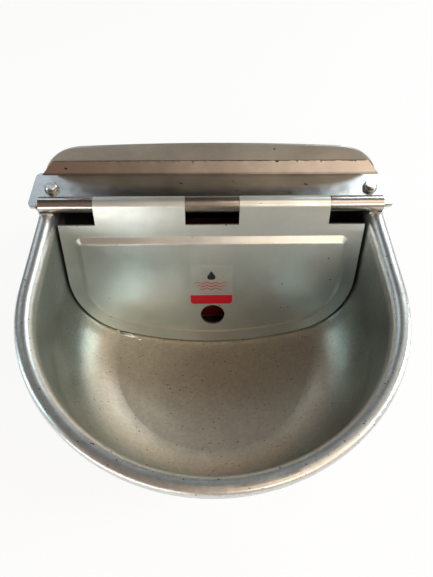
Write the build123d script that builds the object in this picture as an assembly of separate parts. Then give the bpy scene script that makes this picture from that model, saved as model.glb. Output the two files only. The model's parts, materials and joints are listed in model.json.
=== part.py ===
from build123d import *
from math import atan2, cos, degrees, hypot, radians, sin, sqrt, tan
import os

# Wall-mounted livestock drinking bowl with a float valve behind a lift-up guard.
# Millimetres. +Z is up and +Y points at the wall. The origin is the centre of the four
# wall holes, on the rear face of the back plate, so the whole bowl lies at y <= 0.

# ---- driving dimensions ----
SHEET = 2.0                    # galvanised sheet, one gauge throughout
FIT = 0.05                     # radial clearance of pins, bores and rivets
DECK_Z = 47.5                  # top of the hinge plate
HINGE_TO_WALL = 47.85          # hinge line to the wall
HINGE_RISE = 0.9               # hinge axis above the top of the hinge plate

TUB_HALF = 130.6               # inside half width, and the radius of the rounded front
TUB_CENTRE = 79.65             # centre of the rounded front, ahead of the hinge line
TUB_DEPTH = 127.6              # top of the hinge plate down to the middle of the floor
FLOOR_RADIUS = 308.0           # dish of the floor
WALL_RADIUS = 58.0             # floor to side wall
REAR_RADIUS = 20.0             # back wall to sides and floor

RIM_WIDTH = 12.1               # inside edge of the rim to its outermost edge
RIM_ROOT = 11.0                # where the rolled rim leaves the wall, below the deck
RIM_HEM = 10.5                 # lower edge of its outer side, below the deck
RIM_CREST = 6.3                # radius of the rim's crest
RIM_CURL = 2.6                 # radius of its outer curl
RIM_FALL = 1.6                 # outward fall of the rim

EAR_HALF = 152.6               # half the width across the ears
EAR_FRONT = 0.4                # ear's front edge behind the hinge line
EAR_REAR = 40.05               # ear's rear edge behind the hinge line
EAR_CORNER = 3.5               # at the front
EAR_REAR_CORNER = 5.0
EAR_SWEEP = 5.2                # concave sweep from the rim out to the ear
EAR_SWEEP_START = 7.5          # where it leaves the rim, ahead of the hinge line

PLATE_TOP = 25.2               # back plate above the deck, at the middle
PLATE_SHOULDER = 22.5          # and where its corners begin
PLATE_CORNER = 45.0
PLATE_BOTTOM = 92.0            # back plate below the deck
PLATE_LOW_CORNER = 18.0
WALL_HOLE_X = 282.4            # wall holes, centre to centre
WALL_HOLE_Z = 55.0
WALL_HOLE_R = 4.5

LIP_START = 37.95              # bend of the hinge plate behind the hinge line
LIP_RUN = 7.9                  # 45 degree lip, back to the back plate
LIP_BEND = 2.5                 # bend radius of the lip, at mid-sheet
LIP_FRONT_HALF = 147.2         # half width of the lip at its bend
LIP_REAR_HALF = 137.6          # and at the back plate

PIN_R = 4.76                   # 3/8 in rod
KNUCKLE_R = PIN_R + FIT + SHEET
KNUCKLE_GAP = 0.45             # between neighbouring knuckles
KNUCKLE_SEAM = 0.4             # where the rolled edge comes back to the deck
DECK_SETBACK = 1.6             # deck's edge behind the guard's knuckles
CENTRE_KNUCKLE = 22.0          # half length of the middle fixed knuckle
OUTER_KNUCKLE = 97.9           # inner end of each outer fixed knuckle
KNUCKLE_END = 141.5

GUARD_TILT = 22.5              # guard's lean from the vertical when it is shut
GUARD_HALF = 128.3
GUARD_LENGTH = 140.0           # hinge axis to its lowest edge
GUARD_BOTTOM_RADIUS = 285.0
GUARD_CORNER = 60.0
NOTCH_DEPTH = 15.6             # hinge axis to the notches' lower edge
PANEL_HALF = 116.5             # foot of the raised panel
PANEL_TOP = 26.4               # and its top edge below the hinge axis
PANEL_CORNER = 7.0
PANEL_MARGIN = 11.0            # foot of the panel inside the guard's bottom edge
PANEL_RISE = 3.7
PANEL_SLOPE = 4.6              # run of the panel's sloping edge
PANEL_BEND = 1.2               # inside radius of the bends all round the panel
FINGER_HOLE = 105.7            # hinge axis to the finger hole
FINGER_HOLE_R = 11.1

RIVET_X = 135.7                # rivets through the ears
RIVET_Y = 19.6                 # behind the hinge line
RIVET_R = 2.4
RIVET_TAIL_R = 3.05            # formed tail under the ear, clear of the side wall
BACK_RIVET_X = 84.0            # outer rivets through the back wall
BACK_RIVET_Z = 18.0            # below the deck
BACK_RIVET_R = 1.9

# Valve, along the inlet axis from the pipe to the float. X is negative on this side.
VALVE_Y = 6.35                 # inlet axis behind the hinge line
VALVE_Z = 32.0                 # and below the deck
SHANK_R = 10.48                # 1/2 in parallel pipe thread, over the crests
GRIP_R = 9.9                   # the same thread at mid height, where the lock nut grips it
SHANK_X = -151.0               # mouth of the shank
FREE_THREAD_X = -140.0         # inner end of the thread that the pipe takes
SHANK_BORE_R = 7.0
SHANK_BORE_X = -118.0          # bottom of the shank's bore
PORT_R = 4.5                   # waterway from there to the seat
FLANGE_R = 17.0
FLANGE = 3.5
GASKET = 1.5
WASHER_R = 16.5
WASHER = 1.5
LOCK_NUT = 5.0
LOCK_NUT_ACROSS = 30.0         # across the flats
STRAINER_R = 6.9
STRAINER_WALL = 0.8
STRAINER_X = (-149.0, -135.0)
SEAT_X = -111.0                # face that the seal closes on
SEAT_LENGTH = 4.0
ORIFICE_R = 1.5
CHAMBER_R = 9.0
OUTLET_R = 3.2
HOUSING_X = -98.0              # open end of the housing
HOUSING_WIDTH = 30.0
HOUSING_HEIGHT = 33.0
HOUSING_DROP = 1.5             # its middle below the inlet axis
GUIDE_LENGTH = 6.0             # bush inside the housing
GUIDE_FLANGE_R = 10.0
GUIDE_FLANGE = 2.5
STEM_R = 4.0
STEM_X = -90.5                 # end that the level screw pushes
CUP_R = 5.8
CUP_X = -107.9                 # mouth of the cup
CUP_LENGTH = 3.0
SEAL_R = 4.45
SEAL_PROUD = 0.8               # seal ahead of its cup
SEAL_DEPTH = 1.7               # and inside it
TOUCH = 0.3                    # level screw to stem when the bowl is empty

# Float lever.
ARM_PIVOT_X = -88.0
ARM_PIVOT_Z = 46.0             # below the deck
ARM_PIVOT_R = 2.0
EYE_R = 6.0                    # eyes of the fork and hub of the arm
CHEEK = 3.0
CHEEK_Y = 9.0                  # middle of each cheek from the inlet axis
HUB_LENGTH = 14.4
FINGER = 6.0                   # thickness of the finger that holds the level screw
BEAM = 10.0
BEAM_END = -12.0
SADDLE_X = -29.0
SADDLE = (36.0, 30.0, 3.0)
SADDLE_SCREW_Y = 10.0          # screws each side of the arm
SADDLE_SCREW_R = 1.9
LEVEL_SCREW_R = 2.5
LEVEL_HEAD_R = 5.5
FLOAT_LEFT = -50.0
FLOAT_RIGHT = 56.0
FLOAT_TOP = 48.0               # below the deck
FLOAT_BOTTOM = 116.5
FLOAT_REAR = 34.35
FLOAT_TO_GUARD = 10.5
FLOAT_EDGE = 6.0               # rounding of every edge
WIDE = 400.0                   # longer than the whole part, for cutting tools

# ---- derived places ----
HINGE_Y = -HINGE_TO_WALL
HINGE_Z = DECK_Z + HINGE_RISE
TUB_Y = HINGE_Y - TUB_CENTRE
FLOOR_Z = DECK_Z - TUB_DEPTH
FLANGE_Z = DECK_Z - SHEET
PLATE_FRONT = -SHEET
INNER_WALL_Y = PLATE_FRONT - SHEET
CORNER_X = TUB_HALF - WALL_RADIUS
DISH_Z = FLOOR_Z + FLOOR_RADIUS
CORNER_Z = DISH_Z - sqrt((FLOOR_RADIUS - WALL_RADIUS) ** 2 - CORNER_X ** 2)
OUTER_WALL_X = -TUB_HALF - SHEET
VALVE = Vector(0, HINGE_Y + VALVE_Y, DECK_Z - VALVE_Z)
ARM_PIVOT = Vector(ARM_PIVOT_X, VALVE.Y, DECK_Z - ARM_PIVOT_Z)
PIN_CLIP_Y = CHEEK_Y + CHEEK / 2 + 0.9
FLOAT_TOP_Z = DECK_Z - FLOAT_TOP

SECTION = Plane(origin=(0, TUB_Y, 0), x_dir=(1, 0, 0), z_dir=(0, -1, 0))
SIDE = Plane.YZ
GUARD_PLANE = Plane(
    origin=(0, HINGE_Y, HINGE_Z),
    x_dir=(1, 0, 0),
    z_dir=(0, -cos(radians(GUARD_TILT)), sin(radians(GUARD_TILT))),
)


def rod(radius, x_from, x_to, y=VALVE.Y, z=VALVE.Z):
    """Round bar along X."""
    middle = ((x_from + x_to) / 2, y, z)
    return Pos(*middle) * Rot(0, 90, 0) * Cylinder(radius, abs(x_to - x_from))


def ring(outer, inner, x_from, x_to, y=VALVE.Y, z=VALVE.Z):
    """Round tube along X."""
    return rod(outer, x_from, x_to, y, z) - rod(inner, x_from, x_to, y, z)


def block(low, high):
    """Box between two opposite corners."""
    size = [b - a for a, b in zip(low, high)]
    middle = [(a + b) / 2 for a, b in zip(low, high)]
    return Pos(*middle) * Box(*size)


def across(radius, length, x, y, z):
    """Round bar along Y, about its middle."""
    return Pos(x, y, z) * Rot(90, 0, 0) * Cylinder(radius, length)


# ---- bowl ----
def tub(grow, top):
    """Inside of the tub grown outward by a thickness, up to a height, as one solid.

    The section is a straight wall, a round corner and a dished floor. It turns half
    round for the front and runs straight to the back wall, which is rounded all along.
    """
    corner_angle = degrees(atan2(CORNER_Z - DISH_Z, CORNER_X))
    side = TUB_HALF + grow
    floor = FLOOR_Z - grow
    half = make_face([
        Line((side, top), (side, CORNER_Z)),
        CenterArc((CORNER_X, CORNER_Z), WALL_RADIUS + grow, 0, corner_angle),
        CenterArc((0, DISH_Z), FLOOR_RADIUS + grow, corner_angle, -90 - corner_angle),
        Line((0, floor), (0, top)),
        Line((0, top), (side, top)),
    ])
    section = SECTION * half
    front = revolve(section, Axis((0, TUB_Y, 0), (0, 0, -1)), 180)
    length = INNER_WALL_Y + grow - TUB_Y
    rear = extrude(section, length, dir=(0, 1, 0))
    rear += mirror(rear, Plane.YZ)
    back_edges = rear.faces().sort_by(Axis.Y)[-1].edges().filter_by(
        lambda edge: edge.center().Z < top - 0.01
    )
    rear = fillet(back_edges, REAR_RADIUS + grow)
    return front + rear


def rim():
    """Rolled rim: out over a crest, down a slight fall and round a tight curl."""
    wall = TUB_HALF + SHEET / 2
    edge = TUB_HALF + RIM_WIDTH - SHEET / 2
    fall = RIM_FALL / (edge - wall)
    crest = FLANGE_Z - SHEET / 2 + RIM_CREST * (fall + hypot(1, fall) - 1)
    path = FilletPolyline(
        (wall, DECK_Z - RIM_ROOT),
        (wall, crest),
        (edge, crest - RIM_FALL),
        (edge, DECK_Z - RIM_HEM),
        radius=[RIM_CREST, RIM_CURL],
    )
    profile = SECTION * trace(path, SHEET)
    front = revolve(profile, Axis((0, TUB_Y, 0), (0, 0, -1)), 180)
    run = extrude(profile, TUB_CENTRE + EAR_FRONT, dir=(0, 1, 0))
    return front + run + mirror(run, Plane.YZ)


def round_corner(outline, x, y, radius):
    """Rounds the corner of a flat outline that lies nearest to a point."""
    return fillet(outline.vertices().sort_by_distance((x, y, 0))[0], radius)


def ear_outline(inside):
    """Right ear seen from above: square to the side, swept in to the rim at the front."""
    rim_edge = TUB_HALF + RIM_WIDTH - 0.6
    start = HINGE_Y - EAR_SWEEP_START
    front = HINGE_Y + EAR_FRONT
    rear = HINGE_Y + EAR_REAR
    outline = make_face([
        Line((inside, start), (rim_edge, start)),
        SagittaArc((rim_edge, start), (rim_edge + EAR_SWEEP, front), 0.9),
        Line((rim_edge + EAR_SWEEP, front), (EAR_HALF, front)),
        Line((EAR_HALF, front), (EAR_HALF, rear)),
        Line((EAR_HALF, rear), (inside, rear)),
        Line((inside, rear), (inside, start)),
    ])
    outline = round_corner(outline, EAR_HALF, front, EAR_CORNER)
    return round_corner(outline, EAR_HALF, rear, EAR_REAR_CORNER)


def rivet_places():
    """Centres of the two rivets through the ears, seen from above."""
    return [(side * RIVET_X, HINGE_Y + RIVET_Y) for side in (-1, 1)]


def back_rivet_places():
    """X and Z of the rivets through the bowl's back wall."""
    return [(x, DECK_Z - BACK_RIVET_Z) for x in (-BACK_RIVET_X, 0, BACK_RIVET_X)]


def bowl():
    """Deep-drawn bowl: tub, rolled rim and the two flat ears at the back, in one sheet."""
    over = FLANGE_Z + 1
    tub_wall = tub(SHEET, FLANGE_Z) - tub(0, over)
    rim_root = DECK_Z - RIM_ROOT
    tub_wall -= block((-WIDE, -WIDE, rim_root), (WIDE, HINGE_Y + EAR_FRONT, over))
    ear = Pos(0, 0, FLANGE_Z - SHEET) * extrude(ear_outline(CORNER_X), SHEET, dir=(0, 0, 1))
    ears = ear + mirror(ear, Plane.YZ) - tub(0, over)
    body = tub_wall + rim() + ears
    knuckle_room = KNUCKLE_END + KNUCKLE_GAP
    body -= rod(KNUCKLE_R + KNUCKLE_GAP, -knuckle_room, knuckle_room, HINGE_Y, HINGE_Z)
    body -= rod(SHANK_R + 0.3, SHANK_X, -CORNER_X)
    for x, y in rivet_places():
        body -= Pos(x, y, FLANGE_Z) * Cylinder(RIVET_R + FIT, 3 * SHEET)
    for x, z in back_rivet_places():
        body -= across(BACK_RIVET_R + FIT, 3 * SHEET, x, PLATE_FRONT, z)
    return body


# ---- back plate ----
def back_plate():
    """Upright wall plate: gently arched top, large top corners, four wall holes."""
    half = EAR_HALF - 1.1
    shoulder = half - PLATE_CORNER
    top = DECK_Z + PLATE_SHOULDER
    corner_z = top - PLATE_CORNER
    bottom = DECK_Z - PLATE_BOTTOM
    outline = make_face([
        ThreePointArc((-shoulder, top), (0, DECK_Z + PLATE_TOP), (shoulder, top)),
        CenterArc((shoulder, corner_z), PLATE_CORNER, 0, 90),
        Line((half, corner_z), (half, bottom)),
        Line((half, bottom), (-half, bottom)),
        Line((-half, bottom), (-half, corner_z)),
        CenterArc((-shoulder, corner_z), PLATE_CORNER, 90, 90),
    ])
    low_corners = outline.vertices().filter_by(lambda v: v.Y < bottom + 0.1)
    outline = fillet(low_corners, PLATE_LOW_CORNER)
    for x in (-WALL_HOLE_X / 2, WALL_HOLE_X / 2):
        for z in (-WALL_HOLE_Z / 2, WALL_HOLE_Z / 2):
            outline -= Pos(x, z) * Circle(WALL_HOLE_R)
    plate = extrude(Plane.XZ * outline, SHEET, dir=(0, -1, 0))
    for x, z in back_rivet_places():
        plate -= Pos(x, 0, z) * back_rivet_shape(FIT)
    return plate


def back_rivet_shape(grow):
    """Rivet through bowl and plate: low dome in the chamber, countersunk at the wall."""
    shank = BACK_RIVET_R + grow
    sink = SHEET - 0.3
    head_r = 2 * BACK_RIVET_R
    profile = make_face(Polyline(
        (0, 0), (shank + sink, 0), (shank, -sink), (shank, INNER_WALL_Y),
        (head_r, INNER_WALL_Y), (0.92 * head_r, INNER_WALL_Y - 0.6),
        (0.7 * head_r, INNER_WALL_Y - 1.1), (0.38 * head_r, INNER_WALL_Y - 1.4),
        (0, INNER_WALL_Y - 1.5), close=True,
    ))
    return revolve(profile, Axis.Y, 360)


def back_plate_rivets():
    """Three rivets above the water line, as one group."""
    return [Pos(x, 0, z) * back_rivet_shape(0) for x, z in back_rivet_places()]


# ---- hinge plate ----
def fixed_knuckles():
    """X spans of the knuckles rolled on the hinge plate."""
    return [
        (-KNUCKLE_END, -OUTER_KNUCKLE),
        (-CENTRE_KNUCKLE, CENTRE_KNUCKLE),
        (OUTER_KNUCKLE, KNUCKLE_END),
    ]


def hinge_plate():
    """Cover over the float chamber: flat deck, 45 degree lip, ears and rolled knuckles."""
    deck_front = HINGE_Y + KNUCKLE_R + DECK_SETBACK
    bend = HINGE_Y + LIP_START
    flat_rear = bend - LIP_BEND * tan(radians(45 / 2))
    ear_front = HINGE_Y + EAR_FRONT
    ear_rear = HINGE_Y + EAR_REAR
    right = [
        (KNUCKLE_END, deck_front), (KNUCKLE_END, ear_front), (EAR_HALF, ear_front),
        (EAR_HALF, ear_rear), (LIP_FRONT_HALF, ear_rear), (LIP_FRONT_HALF, flat_rear),
    ]
    left = [(-x, y) for x, y in reversed(right)]
    flat = make_face(Polyline(*right, *left, close=True))
    for x in (-EAR_HALF, EAR_HALF):
        flat = round_corner(flat, x, ear_front, EAR_CORNER)
        flat = round_corner(flat, x, ear_rear, EAR_REAR_CORNER)
    body = Pos(0, 0, FLANGE_Z) * extrude(flat, SHEET, dir=(0, 0, 1))
    body += lip(flat_rear, bend)
    for x_from, x_to in fixed_knuckles():
        body += block(
            (x_from, HINGE_Y + PIN_R, FLANGE_Z), (x_to, deck_front + SHEET / 4, DECK_Z)
        )
        body += rod(KNUCKLE_R, x_from, x_to, HINGE_Y, HINGE_Z)
        body -= block(
            (x_from, HINGE_Y + PIN_R - SHEET, DECK_Z),
            (x_to, HINGE_Y + KNUCKLE_R, DECK_Z + KNUCKLE_SEAM),
        )
        body -= rod(PIN_R + FIT, x_from, x_to, HINGE_Y, HINGE_Z)
    for x, y in rivet_places():
        body -= Pos(x, y, DECK_Z) * Cylinder(RIVET_R + FIT, 3 * SHEET)
    return body


def lip(flat_rear, bend):
    """Bent-up rear edge that meets the back plate, with its ends cut back to the rear."""
    mid = DECK_Z - SHEET / 2
    rise = LIP_RUN + SHEET
    path = FilletPolyline(
        (flat_rear - SHEET, mid), (bend, mid), (bend + rise, mid + rise), radius=[LIP_BEND]
    )
    sheet = extrude(SIDE * trace(path, SHEET), LIP_FRONT_HALF, both=True)
    right = [
        (LIP_FRONT_HALF, flat_rear - SHEET / 2), (LIP_FRONT_HALF, bend),
        (LIP_REAR_HALF, PLATE_FRONT),
    ]
    left = [(-x, y) for x, y in reversed(right)]
    plan = make_face(Polyline(*right, *left, close=True))
    return sheet & Pos(0, 0, FLANGE_Z - rise) * extrude(plan, 3 * rise, dir=(0, 0, 1))


def hinge_plate_rivets():
    """Two headed rivets, set through deck and ear, as one group."""
    under = -2 * SHEET
    profile = make_face(Polyline(
        (0, 4.6), (4.2, 4.6), (5.2, 3.7), (5.2, 1.3), (6.0, 1.0), (6.0, 0), (RIVET_R, 0),
        (RIVET_R, under), (RIVET_TAIL_R, under), (RIVET_TAIL_R, under - 1.6),
        (0, under - 2.2), close=True,
    ))
    rivet = revolve(Plane.XZ * profile, Axis.Z, 360)
    return [Pos(x, y, DECK_Z) * rivet for x, y in rivet_places()]


def hinge_pin():
    """Plain pin through the five knuckles, with chamfered ends."""
    end = KNUCKLE_END - KNUCKLE_GAP
    pin = rod(PIN_R, -end, end, HINGE_Y, HINGE_Z)
    return chamfer(pin.edges().filter_by(GeomType.CIRCLE), 0.6)


# ---- float guard ----
def guard_outline(inset, top, half, corner):
    """Outline with straight sides, round corners and a wide arc along the bottom.

    Local X is across the guard and local Y runs up it, from the hinge axis.
    """
    bottom_radius = GUARD_BOTTOM_RADIUS - inset
    lowest = -(GUARD_LENGTH - inset)
    arc_y = lowest + bottom_radius
    corner_x = half - corner
    corner_y = arc_y - sqrt((bottom_radius - corner) ** 2 - corner_x ** 2)
    angle = degrees(atan2(corner_y - arc_y, corner_x))
    return make_face([
        Line((-half, -top), (half, -top)),
        Line((half, -top), (half, corner_y)),
        CenterArc((corner_x, corner_y), corner, 0, angle),
        CenterArc((0, arc_y), bottom_radius, angle, -180 - 2 * angle),
        CenterArc((-corner_x, corner_y), corner, 180 - angle, angle),
        Line((-half, corner_y), (-half, -top)),
    ])


def guard_knuckles():
    """X spans of the two wide knuckles rolled on the guard."""
    inner = CENTRE_KNUCKLE + KNUCKLE_GAP
    outer = OUTER_KNUCKLE - KNUCKLE_GAP
    return [(-outer, -inner), (inner, outer)]


def pressed_flap(flap, foot, height, top_bend, foot_bend):
    """Flap up to one height, with a low plateau on it that has sloping sides and round bends."""
    body = Pos(0, 0, height - SHEET) * extrude(flap, SHEET, dir=(0, 0, 1))
    plateau = Pos(0, 0, PANEL_RISE) * offset(foot, -PANEL_SLOPE)
    body += Pos(0, 0, height) * loft([foot, plateau])
    body = fillet(body.faces().sort_by(Axis.Z)[-1].edges(), top_bend)
    flat = body.faces().filter_by(Plane.XY).sort_by(Axis.Z)[-2]
    return fillet(flat.inner_wires()[0].edges(), foot_bend)


def float_guard():
    """Pressed flap hung on the pin: raised panel of even gauge, finger hole, clear notches."""
    flap = guard_outline(0, NOTCH_DEPTH, GUARD_HALF, GUARD_CORNER)
    for x_from, x_to in guard_knuckles():
        tongue = Rectangle(x_to - x_from, NOTCH_DEPTH)
        flap += Pos((x_from + x_to) / 2, -NOTCH_DEPTH / 2) * tongue
    foot = guard_outline(PANEL_MARGIN, PANEL_TOP, PANEL_HALF, GUARD_CORNER - PANEL_MARGIN)
    foot = fillet(foot.vertices().sort_by(Axis.Y)[-2:], PANEL_CORNER)
    outside_bend = PANEL_BEND + SHEET
    guard = pressed_flap(flap, foot, KNUCKLE_R, outside_bend, PANEL_BEND)
    inset = SHEET * tan(atan2(PANEL_RISE, PANEL_SLOPE) / 2)
    guard -= pressed_flap(
        flap, offset(foot, -inset), KNUCKLE_R - SHEET, PANEL_BEND, outside_bend
    )
    guard -= Pos(0, -FINGER_HOLE, KNUCKLE_R) * Cylinder(FINGER_HOLE_R, WIDE / 10)
    for x_from, x_to in guard_knuckles():
        guard += rod(KNUCKLE_R, x_from, x_to, 0, 0)
        guard -= rod(PIN_R + FIT, x_from, x_to, 0, 0)
    return GUARD_PLANE * guard


# ---- valve ----
def valve_body():
    """Moulded valve: threaded shank, wall flange, housing and a fork for the float arm."""
    flange_x = GASKET - TUB_HALF
    housing_x = flange_x + FLANGE
    body = rod(SHANK_R, SHANK_X, FREE_THREAD_X)
    body = chamfer(body.edges().filter_by(GeomType.CIRCLE).sort_by(Axis.X)[0], 1.0)
    body += rod(GRIP_R, FREE_THREAD_X, housing_x) + rod(FLANGE_R, flange_x, housing_x)
    half_width = HOUSING_WIDTH / 2
    middle = VALVE.Z - HOUSING_DROP
    housing = block(
        (housing_x, VALVE.Y - half_width, middle - HOUSING_HEIGHT / 2),
        (HOUSING_X, VALVE.Y + half_width, middle + HOUSING_HEIGHT / 2),
    )
    body += fillet(housing.edges().filter_by(Axis.X), 5)
    eye = Pos(ARM_PIVOT_X, ARM_PIVOT.Z) * Circle(EYE_R)
    web = Pos((ARM_PIVOT_X + HOUSING_X) / 2, ARM_PIVOT.Z)
    cheek = extrude(
        Plane.XZ * (eye + web * Rectangle(ARM_PIVOT_X - HOUSING_X + 2, 2 * EYE_R)),
        CHEEK / 2, both=True,
    )
    for side in (-1, 1):
        body += Pos(0, VALVE.Y + side * CHEEK_Y, 0) * cheek
    seat_bottom = SEAT_X - SEAT_LENGTH
    body -= rod(SHANK_BORE_R, SHANK_X - 1, SHANK_BORE_X)
    body -= rod(PORT_R, SHANK_BORE_X - 1, SEAT_X)
    body -= rod(SHANK_BORE_R, seat_bottom, SEAT_X + 1)
    body -= rod(CHAMBER_R, SEAT_X, HOUSING_X + 1)
    body -= Pos((SEAT_X + CUP_X) / 2 + 1, VALVE.Y, middle - HOUSING_HEIGHT / 2) * Cylinder(
        OUTLET_R, HOUSING_HEIGHT - CHAMBER_R
    )
    return body - across(ARM_PIVOT_R + FIT, HOUSING_WIDTH, *ARM_PIVOT)


def inlet_strainer():
    """Slotted cup in the mouth of the shank that keeps grit out of the seat."""
    mouth, end = STRAINER_X
    inside = STRAINER_R - STRAINER_WALL
    cup = rod(STRAINER_R, mouth, end) - rod(inside, mouth - 1, end - STRAINER_WALL)
    slot_length = 0.65 * (end - mouth)
    slot = Pos((mouth + end) / 2, 0, 0) * Box(slot_length, 2.0, 3 * STRAINER_R)
    for turn in range(6):
        cup -= Pos(0, VALVE.Y, VALVE.Z) * Rot(turn * 30, 0, 0) * slot
    return cup


def inner_gasket():
    """Rubber ring between the valve's flange and the wall."""
    return ring(FLANGE_R, GRIP_R + FIT, -TUB_HALF, GASKET - TUB_HALF)


def outer_washer():
    """Fibre washer under the lock nut."""
    return ring(WASHER_R, SHANK_R + FIT, OUTER_WALL_X - WASHER, OUTER_WALL_X)


def lock_nut():
    """Thin hexagon nut that clamps the valve to the side of the bowl."""
    hexagon = RegularPolygon(LOCK_NUT_ACROSS / 2, 6, major_radius=False)
    nut = extrude(Plane.YZ * (hexagon - Circle(GRIP_R + FIT)), LOCK_NUT, dir=(-1, 0, 0))
    return Pos(OUTER_WALL_X - WASHER, VALVE.Y, VALVE.Z) * nut


def valve_seat():
    """Pressed-in seat with the small orifice that the seal closes."""
    seat = ring(SHANK_BORE_R - FIT, ORIFICE_R, SEAT_X - SEAT_LENGTH, SEAT_X)
    return chamfer(seat.edges().filter_by(GeomType.CIRCLE).sort_by(Axis.X)[-2:], 0.4)


def plunger_guide():
    """Flanged bush that closes the housing and guides the plunger."""
    flange_end = HOUSING_X + GUIDE_FLANGE
    bush = rod(CHAMBER_R - FIT, HOUSING_X - GUIDE_LENGTH, HOUSING_X)
    bush += rod(GUIDE_FLANGE_R, HOUSING_X, flange_end)
    return bush - rod(STEM_R + FIT, HOUSING_X - GUIDE_LENGTH, flange_end)


def plunger():
    """Sliding stem with a cup that carries the seal."""
    body = rod(CUP_R, CUP_X, CUP_X + CUP_LENGTH)
    body += rod(STEM_R, CUP_X + CUP_LENGTH - 0.1, STEM_X)
    return body - rod(SEAL_R + FIT, CUP_X, CUP_X + SEAL_DEPTH)


def plunger_seal():
    """Rubber disc in the plunger's cup."""
    return rod(SEAL_R, CUP_X - SEAL_PROUD, CUP_X + SEAL_DEPTH)


# ---- float and arm ----
def saddle_screw_places():
    """X and Y of the two screws between arm and float."""
    return [(SADDLE_X, VALVE.Y + side * SADDLE_SCREW_Y) for side in (-1, 1)]


def float_arm():
    """Moulded lever: hub, upright finger for the level screw, ribbed beam and saddle."""
    length, width, thickness = SADDLE
    saddle = Pos(SADDLE_X, VALVE.Y, FLOAT_TOP_Z + thickness / 2) * Box(*SADDLE)
    arm = fillet(saddle.edges().filter_by(Axis.Z), 4)
    finger_x = ARM_PIVOT_X + FINGER
    finger_z = VALVE.Z + FINGER
    profile = make_face(Polyline(
        (ARM_PIVOT_X, finger_z), (finger_x, finger_z), (finger_x, FLOAT_TOP_Z + 11),
        (finger_x + 4, FLOAT_TOP_Z + 8), (SADDLE_X - length / 2, FLOAT_TOP_Z + 8),
        (BEAM_END, FLOAT_TOP_Z + 4), (BEAM_END, FLOAT_TOP_Z), (finger_x, FLOAT_TOP_Z),
        (ARM_PIVOT_X, ARM_PIVOT.Z), close=True,
    ))
    arm += Pos(0, VALVE.Y, 0) * extrude(Plane.XZ * profile, BEAM / 2, both=True)
    arm += across(EYE_R, HUB_LENGTH, *ARM_PIVOT)
    arm -= across(ARM_PIVOT_R + FIT, width, *ARM_PIVOT)
    arm -= rod(LEVEL_SCREW_R + FIT, ARM_PIVOT_X - FINGER, finger_x + FINGER)
    for x, y in saddle_screw_places():
        arm -= Pos(x, y, FLOAT_TOP_Z) * Cylinder(SADDLE_SCREW_R + FIT, 4 * thickness)
    return arm


def arm_pivot_pin():
    """Headed pin across the valve's fork."""
    shank = across(ARM_PIVOT_R, 2 * PIN_CLIP_Y + 2.4, ARM_PIVOT.X, ARM_PIVOT.Y + 0.6, ARM_PIVOT.Z)
    head = across(3.5, 2.0, ARM_PIVOT.X, ARM_PIVOT.Y - CHEEK_Y - 2.5, ARM_PIVOT.Z)
    groove = across(3.0, 0.9, ARM_PIVOT.X, ARM_PIVOT.Y + PIN_CLIP_Y, ARM_PIVOT.Z)
    groove -= across(1.6, 0.9, ARM_PIVOT.X, ARM_PIVOT.Y + PIN_CLIP_Y, ARM_PIVOT.Z)
    return shank + head - groove


def pivot_clip():
    """Spring clip snapped in the pin's groove."""
    disc = Circle(2 * ARM_PIVOT_R) - Circle(1.65) - Pos(0, -3) * Rectangle(2.2, 6)
    clip = extrude(Plane.XZ * disc, 0.4, both=True)
    return Pos(ARM_PIVOT.X, ARM_PIVOT.Y + PIN_CLIP_Y, ARM_PIVOT.Z) * clip


def float_block():
    """Float with its front face parallel to the guard and every edge well rounded."""
    lean = radians(GUARD_TILT)
    reach = KNUCKLE_R - SHEET - FLOAT_TO_GUARD

    def front_y(below_deck):
        """Y of the float's front face at a depth below the deck."""
        return HINGE_Y - (sin(lean) * (HINGE_RISE + below_deck) + reach) / cos(lean)

    rear = HINGE_Y + FLOAT_REAR
    bottom_z = DECK_Z - FLOAT_BOTTOM
    section = make_face(Polyline(
        (front_y(FLOAT_TOP), FLOAT_TOP_Z), (rear, FLOAT_TOP_Z), (rear, bottom_z),
        (front_y(FLOAT_BOTTOM), bottom_z), close=True,
    ))
    solid = extrude(SIDE * section, FLOAT_RIGHT - FLOAT_LEFT, dir=(1, 0, 0))
    solid = Pos(FLOAT_LEFT, 0, 0) * solid
    solid = fillet(solid.edges(), FLOAT_EDGE)
    for x, y in saddle_screw_places():
        solid -= Pos(x, y, FLOAT_TOP_Z) * Cylinder(SADDLE_SCREW_R + FIT, 18)
    return solid


def float_screws():
    """Two slotted screws through the saddle into the float, as one group."""
    screw = Pos(0, 0, -5.5) * Cylinder(SADDLE_SCREW_R, 11)
    screw += Pos(0, 0, 1.1) * Cylinder(2 * SADDLE_SCREW_R, 2.2)
    screw -= Pos(0, 0, 2.2) * Box(8, 0.9, 1.6)
    head_z = FLOAT_TOP_Z + SADDLE[2]
    return [Pos(x, y, head_z) * screw for x, y in saddle_screw_places()]


def level_screw():
    """Adjusting screw in the arm's finger, with a knurled head; its tip meets the plunger."""
    tip_x = STEM_X + TOUCH
    head_x = ARM_PIVOT_X + FINGER + 8
    screw = rod(LEVEL_SCREW_R, tip_x, head_x) + rod(LEVEL_HEAD_R, head_x, head_x + 4)
    screw = chamfer(screw.edges().filter_by(GeomType.CIRCLE).sort_by(Axis.X)[0], 0.8)
    notch = Pos(head_x + 2, LEVEL_HEAD_R + 0.2, 0) * Box(5, 0.9, 0.9)
    for turn in range(12):
        screw -= Pos(0, VALVE.Y, VALVE.Z) * Rot(turn * 30, 0, 0) * notch
    return screw


def level_lock_nut():
    """Hexagon nut that locks the level screw against the finger."""
    hexagon = RegularPolygon(4, 6, major_radius=False) - Circle(LEVEL_SCREW_R + FIT)
    nut = extrude(Plane.YZ * hexagon, 3.2, dir=(1, 0, 0))
    return Pos(ARM_PIVOT_X + FINGER, VALVE.Y, VALVE.Z) * nut


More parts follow.
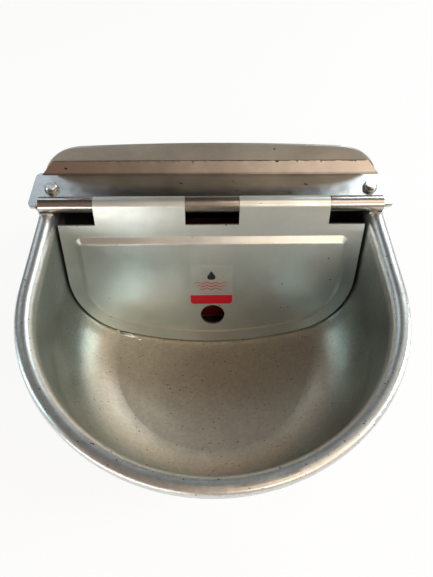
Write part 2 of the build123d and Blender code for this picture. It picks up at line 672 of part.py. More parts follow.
NODES = {
    "bowl": bowl,
    "back_plate": back_plate,
    "back_plate_rivets": back_plate_rivets,
    "hinge_plate": hinge_plate,
    "hinge_plate_rivets": hinge_plate_rivets,
    "hinge_pin": hinge_pin,
    "float_guard": float_guard,
    "valve_body": valve_body,
    "inlet_strainer": inlet_strainer,
    "inner_gasket": inner_gasket,
    "outer_washer": outer_washer,
    "lock_nut": lock_nut,
    "valve_seat": valve_seat,
    "plunger_guide": plunger_guide,
    "plunger": plunger,
    "plunger_seal": plunger_seal,
    "float_arm": float_arm,
    "arm_pivot_pin": arm_pivot_pin,
    "pivot_clip": pivot_clip,
    "float_block": float_block,
    "float_screws": float_screws,
    "level_screw": level_screw,
    "level_lock_nut": level_lock_nut,
}

os.makedirs("parts", exist_ok=True)
for name, build in NODES.items():
    shape = build()
    if isinstance(shape, list):
        shape = Compound(children=shape)
    export_step(shape, f"parts/{name}.step")
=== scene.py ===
import json
from math import cos, pi, radians, sin, sqrt

import bpy
import numpy as np
from bpy.props import FloatProperty, FloatVectorProperty, PointerProperty
from mathutils import Matrix, Vector


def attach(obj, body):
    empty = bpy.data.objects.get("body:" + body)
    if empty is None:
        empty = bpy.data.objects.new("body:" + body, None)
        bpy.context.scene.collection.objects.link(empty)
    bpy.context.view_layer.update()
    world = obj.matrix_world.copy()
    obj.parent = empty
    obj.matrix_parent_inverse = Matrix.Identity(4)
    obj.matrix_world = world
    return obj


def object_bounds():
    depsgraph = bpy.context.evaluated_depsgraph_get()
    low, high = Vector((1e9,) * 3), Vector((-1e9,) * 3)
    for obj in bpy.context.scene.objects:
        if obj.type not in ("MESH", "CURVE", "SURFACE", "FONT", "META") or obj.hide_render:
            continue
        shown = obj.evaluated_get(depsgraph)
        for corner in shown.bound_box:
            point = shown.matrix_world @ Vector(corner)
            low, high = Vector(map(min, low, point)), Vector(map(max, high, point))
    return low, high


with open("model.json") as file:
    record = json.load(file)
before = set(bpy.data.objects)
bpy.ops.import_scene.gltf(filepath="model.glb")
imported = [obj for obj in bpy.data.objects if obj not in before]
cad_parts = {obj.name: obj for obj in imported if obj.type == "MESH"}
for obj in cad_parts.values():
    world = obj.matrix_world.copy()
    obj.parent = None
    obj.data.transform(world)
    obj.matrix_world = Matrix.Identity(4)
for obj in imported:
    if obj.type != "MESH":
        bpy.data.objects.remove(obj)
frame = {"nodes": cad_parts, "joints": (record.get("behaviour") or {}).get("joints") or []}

bl_info = {
    "name": "Livestock Drinking Bowl",
    "version": (1, 0, 0),
    "blender": (4, 5, 0),
    "location": "3D View > Sidebar > Drinking Bowl",
    "description": "Finishes, label, zinc runs and studio for a galvanised drinking bowl",
    "category": "Add Mesh",
}

NODES = frame["nodes"]
CAD_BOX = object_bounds()
MM = 0.001


def hinge_of(name):
    """A joint's row in the frame's record."""
    return next(row for row in frame["joints"] if row["name"] == name)


# The hinge axis, and the guard's own directions: across, down the sheet and out of it.
HINGE = Vector(hinge_of("guard_hinge")["pos_m"])
GUARD_TILT = radians(22.5)
ACROSS = Vector((1, 0, 0))
DOWN = Vector((0, -sin(GUARD_TILT), -cos(GUARD_TILT)))
OUT = Vector((0, -cos(GUARD_TILT), sin(GUARD_TILT)))
# The label, in millimetres: the face of the guard's panel out from the hinge axis, the glue
# under the label, where the label's middle and top lie, its width, and how thick it is.
PANEL_FRONT = 10.51
GLUE = 0.03
LABEL_X = -1.0
LABEL_TOP = 52.0
LABEL_WIDTH = 38
FILM = 0.1
INK = 0.16

# Bands of colour by height: lime scale with a painted warm sheen on the bowl's floor, a painted
# sheen that brightens the rim, and painted light on the lip and knuckles above the deck:
# colour, height where it has faded to nothing, height from which it is full, and wander.
FLOOR_SCALE_AND_SHEEN = ("CBC3B3", -44 * MM, -68 * MM, 20 * MM)
PAINTED_RIM_SHEEN = ("D0D1CD", 30 * MM, 36 * MM, 10 * MM)
PAINTED_LIGHT_ABOVE_DECK = ("BFBCB6", 47.8 * MM, 49.2 * MM, 0.0)

# Pits in the zinc are short dark streaks: how they turn, how much longer than wide they are,
# the radius of the largest as a share of their spacing, and their colour.
PIT_TURN = (0.0, 0.0, -0.4)
PIT_STRETCH = (2.2, 1.0, 1.0)
PIT_RADIUS = 0.2
PIT_TONE = "3A362F"

# In millimetres: the seam where the lip meets the back plate, the dish of the bowl's floor
# and its centre, and the lumps on it, each with its place, length, width and lean in radians.
SEAM_Y = -2.0
SEAM_Z = 55.81
DISH_RADIUS = 308.0
DISH_Z = 227.9
LUMPS = (
    (-81.5, -105.5, 16.0, 5.4, -0.3),
    (-91.5, -101.5, 5.0, 3.0, -0.2),
    (-71.5, -109.0, 4.2, 2.4, 0.1),
)

# The studio. A softbox has a name, a place and size in metres, its share of the power and a
# colour; a glow of the air has an axis, a colour, a strength and how narrow it is. The floor
# lies a little under the bowl, and shows as its own glow, rather than its paint, by a share.
BOWL_MIDDLE = (0.0, -0.1, 0.0)
FLOOR_REACH = 4.0
FLOOR_GAP = 0.5 * MM
FLOOR_GLOW = 0.88
SOFTBOXES = (
    ("overhead", (0.35, -0.3, 1.1), (0.5, 0.5), 0.04, "FFE6CC"),
    ("rear_left", (-0.72, 0.8, 0.82), (0.5, 0.5), 0.06, "E4F2FF"),
    ("rear_right", (0.72, 0.8, 0.82), (0.45, 0.5), 0.18, "E8F4FF"),
    ("left", (-1.1, -0.2, 0.5), (0.25, 0.6), 0.14, "D8F4FF"),
    ("right", (1.1, -0.2, 0.5), (0.25, 0.6), 0.32, "E0F6FF"),
    ("front", (0.5, -1.2, 0.75), (0.45, 0.35), 0.08, "FFECD6"),
    ("low_front", (-0.75, -1.15, 0.2), (1.2, 0.3), 0.2, "FFFAF5"),
)
AIR_TONE = "2C2B29"
AIR_GLOWS = (
    ((0.62, -0.5, 0.62), "FFE4CC", 2.0, 7.0),
    ((-0.6, -0.55, 0.6), "E8A888", 0.3, 5.0),
    ((0.8, 0.4, 0.45), "FFF4DC", 0.4, 6.0),
)
# The camera: its place in metres, its pitch, yaw and roll in degrees, its focal length and the
# longer side of its picture in pixels, and its sensor in millimetres.
CAMERA_AT = (-0.0041, -0.3161, 0.3161)
CAMERA_TURNS = (55.548, -1.92, -1.053)
FOCAL_PIXELS = 449.55
PICTURE_PIXELS = 577
SENSOR = 36


# ---- colours, nodes and meshes ----
def linear(code):
    """An sRGB hex colour as linear red, green, blue and alpha."""
    srgb = np.array([int(code[i:i + 2], 16) for i in (0, 2, 4)]) / 255
    rgb = np.where(srgb <= 0.04045, srgb / 12.92, ((srgb + 0.055) / 1.055) ** 2.4)
    return (*rgb.tolist(), 1.0)


def add(tree, kind, inputs=None, **settings):
    """Adds a node: settings are its own, inputs hold values or the sockets they come from."""
    item = tree.nodes.new(kind)
    for name, value in settings.items():
        setattr(item, name, value)
    for name, value in (inputs or {}).items():
        socket = item.inputs[name]
        if isinstance(value, bpy.types.NodeSocket):
            tree.links.new(value, socket)
        else:
            socket.default_value = value
    return item


def new_material(name):
    """An empty node material and its tree."""
    material = bpy.data.materials.new(name)
    material.use_nodes = True
    material.node_tree.nodes.clear()
    return material, material.node_tree


def finish_surface(tree, shader):
    """Sends a shader to the material's output."""
    add(tree, "ShaderNodeOutputMaterial", {"Surface": shader.outputs[0]})


def dress(names, material):
    """Gives CAD nodes a material."""
    for name in names:
        mesh = NODES[name].data
        mesh.materials.clear()
        mesh.materials.append(material)


def grid_mesh(name, points, closed_u=False, closed_v=False):
    """A mesh from points (rows, columns, 3): point [i, j] joins [i + 1, j] and [i, j + 1]."""
    rows, columns = points.shape[:2]
    index = np.arange(rows * columns).reshape(rows, columns)
    if closed_u:
        index = np.vstack([index, index[:1]])
    if closed_v:
        index = np.hstack([index, index[:, :1]])
    quads = np.stack([index[:-1, :-1], index[1:, :-1], index[1:, 1:], index[:-1, 1:]], -1)
    mesh = bpy.data.meshes.new(name)
    mesh.from_pydata(points.reshape(-1, 3).tolist(), [], quads.reshape(-1, 4).tolist())
    mesh.polygons.foreach_set("use_smooth", np.ones(len(mesh.polygons), bool))
    mesh.update()
    return mesh


def slab_mesh(name, outline, thickness, to_world):
    """A thin closed solid on the guard from its outline in millimetres, (n, 2), anticlockwise."""
    count = len(outline)
    low = to_world(outline[:, 0], outline[:, 1], PANEL_FRONT + GLUE)
    high = to_world(outline[:, 0], outline[:, 1], PANEL_FRONT + thickness)
    ring = np.arange(count)
    sides = np.stack([ring, np.roll(ring, -1), np.roll(ring, -1) + count, ring + count], -1)
    faces = [*sides.tolist(), ring[::-1].tolist(), (ring + count).tolist()]
    mesh = bpy.data.meshes.new(name)
    mesh.from_pydata(np.vstack([low, high]).tolist(), [], faces)
    mesh.update()
    return mesh


def place(mesh, material, body):
    """Links a mesh as a piece that rides on a CAD body."""
    mesh.materials.append(material)
    piece = bpy.data.objects.new(mesh.name, mesh)
    bpy.context.scene.collection.objects.link(piece)
    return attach(piece, body)


def on_guard(x, down, out):
    """Points of the guard from millimetres across it, down it from the hinge and out of it."""
    local = np.stack(np.broadcast_arrays(x, down, out), -1) * MM
    return np.array(HINGE) + local @ np.array([ACROSS, DOWN, OUT])


# ---- finishes ----
def mottled(tree, where, colour, size_mm, detail, low, high):
    """A colour made darker and lighter by soft noise: the colour's socket and the noise's."""
    noise = add(tree, "ShaderNodeTexNoise", {
        "Vector": where, "Scale": 1 / (size_mm * MM), "Detail": detail})
    shade = add(tree, "ShaderNodeMapRange", {
        "Value": noise.outputs["Fac"], "To Min": low, "To Max": high})
    mixed = add(tree, "ShaderNodeVectorMath", {
        0: linear(colour)[:3], 1: shade.outputs["Result"]}, operation="MULTIPLY")
    return mixed.outputs["Vector"], noise.outputs["Fac"]


def galvanised(name, tones, roughness, metal, cloud_mm, pits, spangle_mm, sparkle, bands=()):
    """Hot-dip galvanised steel: zinc skin with cloudy tones, a fine frosted spangle and dark pits.

    tones are its middle, light and dark sRGB colours, metal the share of bare zinc under the
    frost and cloud_mm the size of the tone patches. pits is how many dark specks show, from 0
    to 1, with their spacing in millimetres, spangle_mm the size of the zinc's grain and sparkle
    how strongly the grain shows. bands hold a colour each, for lime scale and for painted sheen
    and light, with the height where it has faded to nothing, the height from which it is full
    and how far both wander with the clouds.
    to nothing, the height from which it is full and how far both wander with the clouds.
    """
    material, tree = new_material(name)
    where = add(tree, "ShaderNodeTexCoord").outputs["Object"]
    tone, light, dark = tones
    cloud = add(tree, "ShaderNodeTexNoise", {
        "Vector": where, "Scale": 1 / (cloud_mm * MM), "Detail": 3.0, "Roughness": 0.55})
    grain = add(tree, "ShaderNodeTexVoronoi", {
        "Vector": where, "Scale": 1 / (spangle_mm * MM)})
    fine = add(tree, "ShaderNodeTexNoise", {
        "Vector": where, "Scale": 1 / (0.9 * MM), "Detail": 2.0})
    patches = add(tree, "ShaderNodeValToRGB", {"Fac": cloud.outputs["Fac"]})
    ramp = patches.color_ramp
    ramp.elements[0].position, ramp.elements[0].color = 0.34, linear(dark)
    ramp.elements[1].position, ramp.elements[1].color = 0.66, linear(light)
    middle = ramp.elements.new(0.5)
    middle.color = linear(tone)
    skin = patches.outputs["Color"]
    often, spacing_mm = pits
    height = add(tree, "ShaderNodeSeparateXYZ", {"Vector": where})
    for band_colour, none_z, full_z, wander in bands:
        level = add(tree, "ShaderNodeMath", {
            0: cloud.outputs["Fac"], 1: wander, 2: height.outputs["Z"]}, operation="MULTIPLY_ADD")
        share = add(tree, "ShaderNodeMapRange", {
            "Value": level.outputs[0], "From Min": none_z + wander / 2,
            "From Max": full_z + wander / 2}, interpolation_type="SMOOTHSTEP")
        skin = add(tree, "ShaderNodeMix", {
            "Factor": share.outputs["Result"], 6: skin, 7: linear(band_colour)},
            data_type="RGBA").outputs[2]
    spark = add(tree, "ShaderNodeSeparateColor", {"Color": grain.outputs["Color"]})
    frost = add(tree, "ShaderNodeMapRange", {
        "Value": spark.outputs["Red"], "To Min": 1 - sparkle, "To Max": 1 + sparkle})
    frosted = add(tree, "ShaderNodeVectorMath", {
        0: skin, 1: frost.outputs["Result"]}, operation="MULTIPLY")
    streaked = add(tree, "ShaderNodeMapping", {
        "Vector": where, "Rotation": PIT_TURN, "Scale": PIT_STRETCH}, vector_type="TEXTURE")
    speck = add(tree, "ShaderNodeTexVoronoi", {
        "Vector": streaked.outputs["Vector"], "Scale": 1 / (spacing_mm * MM)})
    chance = add(tree, "ShaderNodeSeparateColor", {"Color": speck.outputs["Color"]})
    size = add(tree, "ShaderNodeMapRange", {
        "Value": chance.outputs["Green"], "From Min": 1 - often, "From Max": 1.0,
        "To Min": 0.0, "To Max": PIT_RADIUS})
    inside = add(tree, "ShaderNodeMath", {
        0: size.outputs["Result"], 1: speck.outputs["Distance"]}, operation="SUBTRACT")
    pit = add(tree, "ShaderNodeMapRange", {
        "Value": inside.outputs["Value"], "From Min": 0.0, "From Max": 0.04})
    pitted = add(tree, "ShaderNodeMix", {
        "Factor": pit.outputs["Result"], 6: frosted.outputs["Vector"], 7: linear(PIT_TONE)},
        data_type="RGBA")
    gloss = add(tree, "ShaderNodeMapRange", {
        "Value": fine.outputs["Fac"], "From Min": 0.3, "From Max": 0.7,
        "To Min": roughness - 0.04, "To Max": roughness + 0.05})
    dips = add(tree, "ShaderNodeMath", {
        0: fine.outputs["Fac"], 1: pit.outputs["Result"]}, operation="SUBTRACT")
    bump = add(tree, "ShaderNodeBump", {
        "Height": dips.outputs["Value"], "Strength": sparkle, "Distance": 0.4 * MM})
    swell = add(tree, "ShaderNodeTexNoise", {"Vector": where, "Scale": 1 / (38 * MM)})
    swollen = add(tree, "ShaderNodeBump", {
        "Height": swell.outputs["Fac"], "Strength": 0.5, "Distance": 1.6 * MM,
        "Normal": bump.outputs["Normal"]})
    zinc = add(tree, "ShaderNodeBsdfPrincipled", {
        "Base Color": pitted.outputs[2], "Metallic": metal, "Roughness": gloss.outputs["Result"],
        "Normal": swollen.outputs["Normal"]})
    finish_surface(tree, zinc)
    return material


def printed(name, colour, cover=1.0):
    """Printed polyester film: satin ink with a slight mottle; cover below 1 lets the metal show."""
    material, tree = new_material(name)
    where = add(tree, "ShaderNodeTexCoord").outputs["Object"]
    ink, _ = mottled(tree, where, colour, 3, 3.0, 0.85, 1.12)
    film = add(tree, "ShaderNodeBsdfPrincipled", {
        "Base Color": ink, "Roughness": 0.38, "IOR": 1.5, "Alpha": cover})
    finish_surface(tree, film)
    return material


def moulded(name, colour, roughness, grit_mm=0.35, strength=0.15):
    """Moulded plastic or rubber: one dyed colour with a little mottle and a fine mould grain."""
    material, tree = new_material(name)
    where = add(tree, "ShaderNodeTexCoord").outputs["Object"]
    grit = add(tree, "ShaderNodeTexNoise", {
        "Vector": where, "Scale": 1 / (grit_mm * MM), "Detail": 2.0})
    dyed, _ = mottled(tree, where, colour, 12, 2.0, 0.82, 1.18)
    gloss = add(tree, "ShaderNodeMapRange", {
        "Value": grit.outputs["Fac"], "To Min": roughness - 0.06, "To Max": roughness + 0.08})
    bump = add(tree, "ShaderNodeBump", {
        "Height": grit.outputs["Fac"], "Strength": strength, "Distance": 0.1 * MM})
    plastic = add(tree, "ShaderNodeBsdfPrincipled", {
        "Base Color": dyed, "Roughness": gloss.outputs["Result"],
        "Normal": bump.outputs["Normal"], "IOR": 1.5})
    finish_surface(tree, plastic)
    return material


def turned(name, colour, roughness):
    """Turned or drawn metal: clean colour with fine tool rings along X and slight stain."""
    material, tree = new_material(name)
    where = add(tree, "ShaderNodeTexCoord").outputs["Object"]
    rings = add(tree, "ShaderNodeTexWave", {
        "Vector": where, "Scale": 1 / (1.8 * MM) / 20, "Distortion": 0.3, "Detail": 1.0},
        wave_type="BANDS", bands_direction="X")
    stained, stain = mottled(tree, where, colour, 5, 3.0, 0.75, 1.15)
    gloss = add(tree, "ShaderNodeMapRange", {
        "Value": stain, "To Min": roughness - 0.08, "To Max": roughness + 0.12})
    bump = add(tree, "ShaderNodeBump", {
        "Height": rings.outputs["Fac"], "Strength": 0.2, "Distance": 0.1 * MM})
    metal = add(tree, "ShaderNodeBsdfPrincipled", {
        "Base Color": stained, "Metallic": 1.0,
        "Roughness": gloss.outputs["Result"], "Normal": bump.outputs["Normal"]})
    finish_surface(tree, metal)
    return material


# ---- sizes and colours that a user may change ----
class BowlFinish(bpy.types.PropertyGroup):
    """How the zinc looks."""
    spangle: FloatProperty(
        name="Spangle", description="Size of the grain in the zinc skin",
        default=2.2 * MM, min=0.5 * MM, max=20 * MM, unit="LENGTH", subtype="DISTANCE")
    roughness: FloatProperty(
        name="Roughness", description="How frosted the zinc skin is",
        default=0.37, min=0.1, max=0.8, subtype="FACTOR")


class StudioLight(bpy.types.PropertyGroup):
    """The studio around the bowl."""
    light_power: FloatProperty(
        name="Light", description="Power of all the softboxes together",
        default=27.0, min=0.0, max=300.0, unit="POWER")
    floor_colour: FloatVectorProperty(
        name="Floor", description="Colour of the studio floor",
        default=linear("F7F7F6")[:3], size=3, min=0.0, max=1.0, subtype="COLOR")


class DRINKINGBOWL_OT_zinc_parts(bpy.types.Operator):
    """Gives the bowl, plates, pin and rivets their galvanised finish"""
    bl_idname = "drinkingbowl.zinc_parts"
    bl_label = "Galvanised Parts"

    def execute(self, context):
        finish = context.scene.bowl_finish
        rough = finish.roughness
        grain = finish.spangle / MM
        # The bowl's zinc tones are set dark, partly a painted shade for its dim inner walls; its
        # bands paint a warm sheen over the lime scale on the floor and a sheen on the rim.
        dress(["bowl"], galvanised(
            "zinc_drawn_bowl", ("9FA59F", "AEB3AD", "8F958F"), rough, 0.95, 80, (0.85, 2.4),
            grain, 0.07, (FLOOR_SCALE_AND_SHEEN, PAINTED_RIM_SHEEN)))
        dress(["back_plate"], galvanised(
            "zinc_wall_plate", ("BEBAB1", "C8C4BC", "ADA9A0"), rough + 0.03, 0.7, 60, (0.1, 6.5),
            grain, 0.03))
        # The band above the deck is painted light on the lip and the tops of the knuckles.
        dress(["hinge_plate"], galvanised(
            "zinc_hinge_plate", ("93928E", "A1A09D", "84827C"), rough - 0.15, 0.98, 60,
            (0.35, 5.0), 0.5 * grain, 0.015, (PAINTED_LIGHT_ABOVE_DECK,)))
        dress(["hinge_pin", "hinge_plate_rivets", "back_plate_rivets"], galvanised(
            "zinc_fixings", ("B4B4B0", "C4C4C1", "9C9B96"), rough - 0.07, 0.95, 8, (0.1, 6.5),
            0.8, 0.03))
        # The guard's zinc tones are set much lighter than the bowl's, partly painted light for the
        # light the guard catches.
        dress(["float_guard"], galvanised(
            "zinc_guard", ("E6EDE9", "EEF3F0", "D8DED9"), rough - 0.04, 0.82, 75, (0.06, 3.0),
            grain, 0.012))
        return {"FINISHED"}


class DRINKINGBOWL_OT_valve_parts(bpy.types.Operator):
    """Gives the float, valve and inlet their plastics, rubber, brass and stainless steel"""
    bl_idname = "drinkingbowl.valve_parts"
    bl_label = "Valve and Float"

    def execute(self, context):
        dress(["valve_body", "plunger_guide", "float_arm"],
              moulded("nylon_black_moulded", "16171A", 0.42))
        dress(["inlet_strainer", "plunger"], moulded("acetal_white_moulded", "D9D8D0", 0.35))
        # The float's red is set dark, a painted shade for the shadow it lies in behind the guard.
        dress(["float_block"], moulded("polypropylene_red_moulded", "560A0E", 0.32))
        dress(["inner_gasket", "outer_washer", "plunger_seal"],
              moulded("rubber_black_moulded", "1B1B1C", 0.75, 0.5, 0.3))
        dress(["lock_nut", "valve_seat", "level_screw", "level_lock_nut"],
              turned("brass_turned", "C2A25E", 0.3))
        dress(["arm_pivot_pin", "pivot_clip", "float_screws"],
              turned("stainless_drawn", "B4B5B4", 0.3))
        return {"FINISHED"}


class DRINKINGBOWL_OT_label(bpy.types.Operator):
    """Sticks the film label on the guard: a water drop over three waves, and a plain band"""
    bl_idname = "drinkingbowl.label"
    bl_label = "Label"

    def execute(self, context):
        film = printed("film_clear_satin", "FBFCFA", 0.03)
        red = printed("film_ink_red", "C4142A")
        black = printed("film_ink_black", "24262A")
        sheet = self.rounded_box(LABEL_WIDTH, 31, 1.5, 1.5)
        band = self.rounded_box(LABEL_WIDTH, 9.6, 0.6, 3.2)
        self.stick("label_film", sheet, 15.5, FILM, film, "white_plastic")
        self.stick("label_band", band, 36.4, FILM, red, "red_plastic")
        self.stick("label_drop", self.drop(9.5), 10.4, INK, black, "black_plastic")
        for row in range(3):
            wave = self.wave(32 - 5 * row, 0.8)
            self.stick(f"label_wave_{row + 1}", wave, 18.6 + 3 * row, INK, red, "red_plastic")
        return {"FINISHED"}

    @staticmethod
    def stick(name, outline, down, thickness, material, slot):
        """Puts an outline on the panel at a distance below the label's top."""
        at = outline + np.array([LABEL_X, LABEL_TOP + down])
        piece = place(slab_mesh(name, at[::-1], thickness, on_guard), material, "guard")

    @staticmethod
    def rounded_box(width, height, top_radius, low_radius):
        """A rectangle about its middle whose corners are quarter circles, ten points each."""
        turn = np.linspace(0, pi / 2, 10)
        corners = []
        for start, side, end in ((0, 1, 1), (1, -1, 1), (2, -1, -1), (3, 1, -1)):
            radius = low_radius if end > 0 else top_radius
            angle = turn + start * pi / 2
            centre = [side * (width / 2 - radius), end * (height / 2 - radius)]
            corners.append(np.stack([np.cos(angle), np.sin(angle)], -1) * radius + centre)
        return np.vstack(corners)

    @staticmethod
    def drop(length):
        """A water drop: half width sin(t) sin(t/2)^2 against height cos(t), its tip at the top."""
        turn = np.linspace(0, 2 * pi, 48, endpoint=False)
        half_width = np.sin(turn) * np.sin(turn / 2) ** 2
        return np.stack([0.6 * half_width, -0.5 * np.cos(turn)], -1) * length

    @staticmethod
    def wave(length, thickness):
        """A ribbon along a sine of 8 mm, its half width a root that thins to the ends."""
        x = np.linspace(-length / 2, length / 2, 60)
        middle = 0.8 * np.cos(x * pi / 4)
        half = thickness / 2 * np.sqrt(1.02 - (2 * x / length) ** 2)
        near = np.stack([x, middle + half], -1)
        far = np.stack([x, middle - half], -1)
        return np.vstack([far, near[::-1]])


class DRINKINGBOWL_OT_zinc_runs(bpy.types.Operator):
    """Adds a dark strip in the rear seam and the lumps the zinc bath left on the bowl's floor"""
    bl_idname = "drinkingbowl.zinc_runs"
    bl_label = "Zinc Runs"

    def execute(self, context):
        self.seam_dark_line()
        self.lumps()
        return {"FINISHED"}

    @staticmethod
    def seam_dark_line():
        """A dark strip in the seam between lip and back plate, with short drips down the lip.

        Its width is a slow sum of sines plus a narrow bell for each drip, and it is thickest at
        the seam and thins to nothing as the root of one minus its share squared.
        """
        x = np.linspace(-136.0, 136.0, 900)
        across = np.linspace(0.0, 1.0, 6)
        width = 0.55 + 0.16 * np.sin(x / 3.1) + 0.12 * np.sin(x / 1.3 + 1) + 0.1 * np.sin(x / 17)
        rng = np.random.default_rng(8)
        for at, long in zip(rng.uniform(-130, 130, 14), rng.uniform(0.6, 2.6, 14)):
            width += long * np.exp(-((x - at) / 0.45) ** 2)
        run = width[:, None] * across
        lift = 0.32 * np.sqrt(1 - across ** 2) * np.ones_like(run)
        y = SEAM_Y - (run + lift) / sqrt(2)
        z = SEAM_Z + (lift - run) / sqrt(2)
        points = np.stack([np.broadcast_to(x[:, None], run.shape), y, z], -1) * MM
        seam_tone = moulded("seam_dark_strip", "3F3B34", 0.5)
        run_piece = place(grid_mesh("seam_dark_line", points[:, ::-1]), seam_tone, "bowl_unit")

    @staticmethod
    def lumps():
        """Low domes on the floor, one large and two small, each edge a circle plus two sines.

        A dome rises by the root of one minus the squared share of the way out to its edge.
        """
        zinc = galvanised(
            "zinc_lump", ("C9CBC6", "D6D8D4", "8E8F89"), 0.22, 0.95, 5, (0.1, 6.5), 0.8, 0.03)
        turn = np.linspace(0, 2 * pi, 49)[:-1]
        share = np.sin(np.linspace(0.04, pi / 2, 12))
        for number, (x, y, length, width, lean) in enumerate(LUMPS):
            edge = 1 + 0.16 * np.sin(2 * turn + number) + 0.09 * np.sin(5 * turn + 2 * number)
            along = share[:, None] * edge * np.cos(turn) * length / 2
            aside = share[:, None] * edge * np.sin(turn) * width / 2
            px = x + along * cos(lean) - aside * sin(lean)
            py = y + along * sin(lean) + aside * cos(lean)
            floor = DISH_Z - np.sqrt(DISH_RADIUS ** 2 - px ** 2)
            rise = 0.3 * width * np.sqrt(1 - share[:, None] ** 2) - 0.05
            points = np.stack([px, py, floor + rise], -1) * MM
            lump = grid_mesh(f"zinc_lump_{number + 1}", points, closed_v=True)
            place(lump, zinc, "bowl_unit")


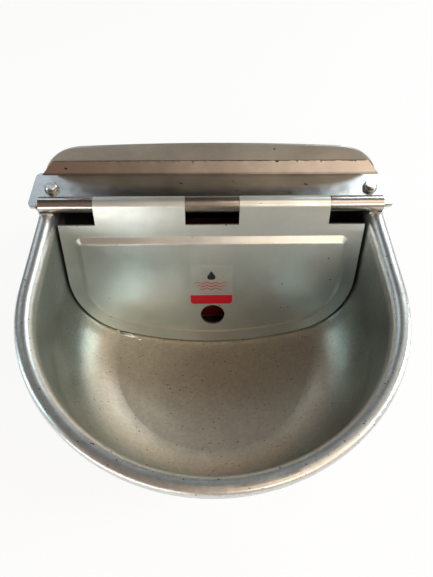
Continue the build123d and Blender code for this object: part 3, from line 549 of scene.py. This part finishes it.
class DRINKINGBOWL_OT_studio(bpy.types.Operator):
    """Builds the floor, the soft light and the camera"""
    bl_idname = "drinkingbowl.studio"
    bl_label = "Studio"

    def execute(self, context):
        studio = context.scene.studio_light
        self.build_floor(studio)
        self.build_world(context)
        for name, at, size, share, code in SOFTBOXES:
            self.add_softbox(name, at, size, share * studio.light_power, code)
        self.add_camera(context)
        return {"FINISHED"}

    @staticmethod
    def build_floor(studio):
        """A pale floor, a flat grid just under the bowl."""
        span = np.linspace(-FLOOR_REACH, FLOOR_REACH, 9)
        x, y = np.meshgrid(span, span, indexing="ij")
        z = np.full_like(x, CAD_BOX[0][2] - FLOOR_GAP)
        mesh = grid_mesh("studio_floor", np.stack([x, y, z], -1))
        material, tree = new_material("studio_floor_paint")
        paint = add(tree, "ShaderNodeBsdfDiffuse", {"Color": (*studio.floor_colour, 1.0)})
        glow = add(tree, "ShaderNodeEmission", {"Color": (1, 1, 1, 1), "Strength": 1.0})
        path = add(tree, "ShaderNodeLightPath")
        seen = path.outputs["Is Camera Ray"]
        for ray in ("Is Glossy Ray", "Is Transmission Ray"):
            seen = add(tree, "ShaderNodeMath", {
                0: seen, 1: path.outputs[ray]}, operation="MAXIMUM").outputs[0]
        share = add(tree, "ShaderNodeMath", {0: seen, 1: FLOOR_GLOW}, operation="MULTIPLY")
        mixed = add(tree, "ShaderNodeMixShader", {
            0: share.outputs[0], 1: paint.outputs[0], 2: glow.outputs[0]})
        finish_surface(tree, mixed)
        mesh.materials.append(material)
        floor = bpy.data.objects.new("studio_floor", mesh)
        bpy.context.scene.collection.objects.link(floor)

    @staticmethod
    def build_world(context):
        """Dim studio air with broad glows: a glow falls off as a power of the cosine to its axis."""
        world = bpy.data.worlds.new("studio_air")
        context.scene.world = world
        world.use_nodes = True
        tree = world.node_tree
        tree.nodes.clear()
        where = add(tree, "ShaderNodeTexCoord").outputs["Generated"]
        total = linear(AIR_TONE)[:3]
        for axis, code, strength, power in AIR_GLOWS:
            cosine = add(tree, "ShaderNodeVectorMath", {
                0: where, 1: Vector(axis).normalized()}, operation="DOT_PRODUCT")
            ahead = add(tree, "ShaderNodeMath", {
                0: cosine.outputs["Value"], 1: 0.0}, operation="MAXIMUM")
            falloff = add(tree, "ShaderNodeMath", {
                0: ahead.outputs[0], 1: power}, operation="POWER")
            glow = [strength * part for part in linear(code)[:3]]
            total = add(tree, "ShaderNodeVectorMath", {
                0: falloff.outputs[0], 1: glow, 2: total}, operation="MULTIPLY_ADD").outputs[0]
        air = add(tree, "ShaderNodeBackground", {"Color": total})
        add(tree, "ShaderNodeOutputWorld", {"Surface": air.outputs[0]})

    @staticmethod
    def add_softbox(name, at, size, power, code):
        """A rectangular soft light that faces the bowl."""
        lamp = bpy.data.lights.new(name, "AREA")
        lamp.shape = "RECTANGLE"
        lamp.size, lamp.size_y = size
        lamp.energy = power
        lamp.color = linear(code)[:3]
        holder = bpy.data.objects.new(name, lamp)
        bpy.context.scene.collection.objects.link(holder)
        aim = Vector(BOWL_MIDDLE) - Vector(at)
        turn = aim.to_track_quat("-Z", "Y")
        holder.matrix_world = Matrix.LocRotScale(Vector(at), turn, None)

    @staticmethod
    def add_camera(context):
        """The camera looks down into the bowl from in front, a little turned and rolled."""
        pitch, yaw, roll = (radians(angle) for angle in CAMERA_TURNS)
        turn = Matrix.Rotation(yaw, 3, "Z")
        ahead = turn @ Vector((0, cos(pitch), -sin(pitch)))
        right = turn @ Vector((1, 0, 0))
        below = turn @ Vector((0, -sin(pitch), -cos(pitch)))
        rolled_right = cos(roll) * right + sin(roll) * below
        rolled_below = cos(roll) * below - sin(roll) * right
        lens = bpy.data.cameras.new("drinker_view")
        lens.lens = FOCAL_PIXELS * SENSOR / PICTURE_PIXELS
        lens.sensor_width = SENSOR
        camera = bpy.data.objects.new("drinker_view", lens)
        axes = Matrix((rolled_right, -rolled_below, -ahead)).transposed()
        camera.matrix_world = Matrix.Translation(CAMERA_AT) @ axes.to_4x4()
        context.scene.collection.objects.link(camera)
        context.scene.camera = camera


class DRINKINGBOWL_PT_panel(bpy.types.Panel):
    """Shows the bowl's settings and its operators in the sidebar"""
    bl_idname = "DRINKINGBOWL_PT_panel"
    bl_label = "Drinking Bowl"
    bl_space_type = "VIEW_3D"
    bl_region_type = "UI"
    bl_category = "Drinking Bowl"

    def draw(self, context):
        layout = self.layout
        layout.prop(context.scene.bowl_finish, "spangle")
        layout.prop(context.scene.bowl_finish, "roughness")
        layout.prop(context.scene.studio_light, "light_power")
        layout.prop(context.scene.studio_light, "floor_colour")
        for operator in OPERATORS:
            layout.operator(operator.bl_idname)


OPERATORS = (
    DRINKINGBOWL_OT_zinc_parts,
    DRINKINGBOWL_OT_valve_parts,
    DRINKINGBOWL_OT_label,
    DRINKINGBOWL_OT_zinc_runs,
    DRINKINGBOWL_OT_studio,
)
CLASSES = (BowlFinish, StudioLight, *OPERATORS, DRINKINGBOWL_PT_panel)


def register():
    """Adds the classes and the settings of the scene."""
    for item in CLASSES:
        bpy.utils.register_class(item)
    bpy.types.Scene.bowl_finish = PointerProperty(type=BowlFinish)
    bpy.types.Scene.studio_light = PointerProperty(type=StudioLight)


def unregister():
    """Takes the settings and the classes away again."""
    del bpy.types.Scene.studio_light
    del bpy.types.Scene.bowl_finish
    for item in reversed(CLASSES):
        bpy.utils.unregister_class(item)


def main():
    """Registers the add-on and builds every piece."""
    register()
    bpy.context.scene.view_settings.view_transform = "Standard"
    bpy.ops.drinkingbowl.zinc_parts()
    bpy.ops.drinkingbowl.valve_parts()
    bpy.ops.drinkingbowl.label()
    bpy.ops.drinkingbowl.zinc_runs()
    bpy.ops.drinkingbowl.studio()


if __name__ == "__main__":
    main()
